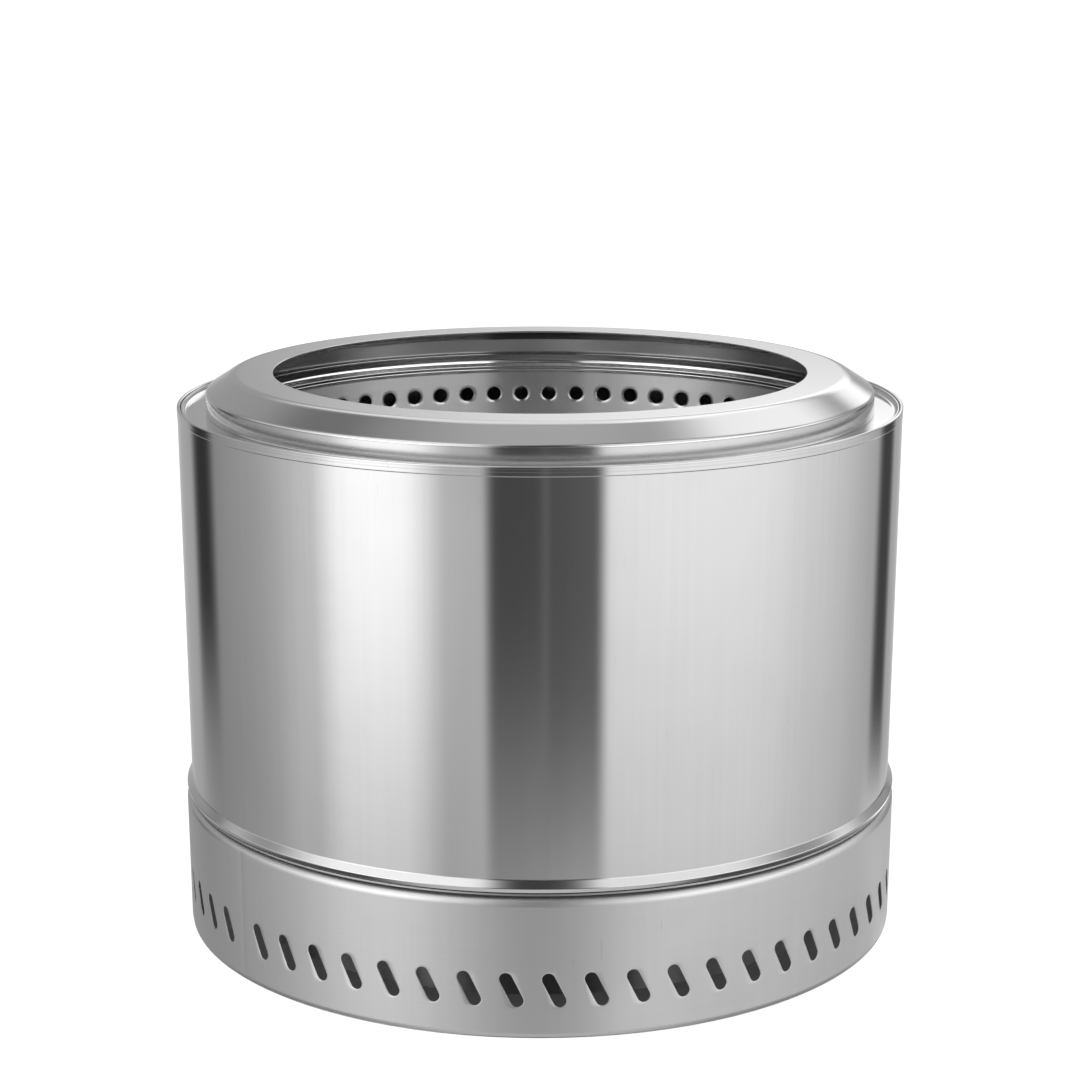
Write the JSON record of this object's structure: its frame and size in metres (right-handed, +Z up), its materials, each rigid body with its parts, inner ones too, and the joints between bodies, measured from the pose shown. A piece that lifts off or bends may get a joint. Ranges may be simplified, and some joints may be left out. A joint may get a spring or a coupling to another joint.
{
  "type": "smokeless fire pit",
  "caption": "Round double-walled steel fire pit with a loose flame ring, a lift-out grate and ash pan, on a slotted air stand.",
  "frame": {"origin": "centre of the stand's foot, on the ground", "axes": "+Z up along the pit's axis; -Y is the front, the side that the picture shows; +X is to the right as seen from the front"},
  "size_m": [0.386, 0.3858, 0.2963],
  "materials": {
    "polished_steel": "polished",
    "satin_steel": "satin",
    "brushed_steel": "brushed",
    "plain_steel": "mill"
  },
  "bodies": {
    "stand": {"stand_skirt": "brushed_steel"},
    "body": {"outer_wall": "polished_steel", "top_deck": "satin_steel", "base_ring": "satin_steel", "chamber_wall": "satin_steel", "chamber_floor": "plain_steel", "grate_ledge": "plain_steel"},
    "flame_ring": {"flame_ring": "satin_steel"},
    "ash_pan": {"ash_pan": "plain_steel", "pan_lug_1": "plain_steel", "pan_lug_2": "plain_steel", "pan_rivet_1": "plain_steel", "pan_rivet_2": "plain_steel", "pan_rivet_3": "plain_steel", "pan_rivet_4": "plain_steel"},
    "grate": {"grate": "plain_steel"}
  },
  "joints": [
    {"name": "body_lift", "type": "slide", "parent": "stand", "child": "body", "axis": [0, 0, 1], "range_m": [0, 0.08]},
    {"name": "flame_ring_lift", "type": "slide", "parent": "body", "child": "flame_ring", "axis": [0, 0, 1], "range_m": [0, 0.1]},
    {"name": "ash_pan_lift", "type": "slide", "parent": "body", "child": "ash_pan", "axis": [0, 0, 1], "range_m": [0, 0.29]},
    {"name": "grate_lift", "type": "slide", "parent": "ash_pan", "child": "grate", "axis": [0, 0, 1], "range_m": [0, 0.25]}
  ]
}
